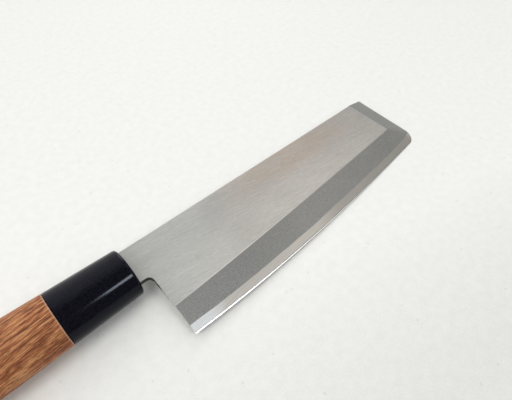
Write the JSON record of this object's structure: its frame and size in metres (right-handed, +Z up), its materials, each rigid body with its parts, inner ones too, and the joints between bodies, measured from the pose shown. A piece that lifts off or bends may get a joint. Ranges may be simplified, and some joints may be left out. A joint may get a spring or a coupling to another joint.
{
  "type": "vegetable knife",
  "caption": "Straight-edged kitchen knife for vegetables: single-bevel steel blade with a squared tip, black resin ferrule and oval wooden handle, lying on its side.",
  "frame": {"origin": "centre of the bounding box's underside, on the surface that the knife lies on", "axes": "+X along the knife's length towards the tip, +Y across it towards the spine, +Z up, on the bevelled side"},
  "size_m": [0.2998, 0.0518, 0.0232],
  "materials": {
    "blade_steel": "brushed flat, blasted bevel, satin edge",
    "ferrule_resin": "smooth moulded, semi-gloss",
    "seal_resin": "poured resin",
    "handle_wood": "sanded, open grain"
  },
  "bodies": {
    "root": {"blade": "blade_steel", "ferrule": "ferrule_resin", "mouth_seal": "seal_resin", "wooden_handle": "handle_wood"}
  },
  "joints": []
}
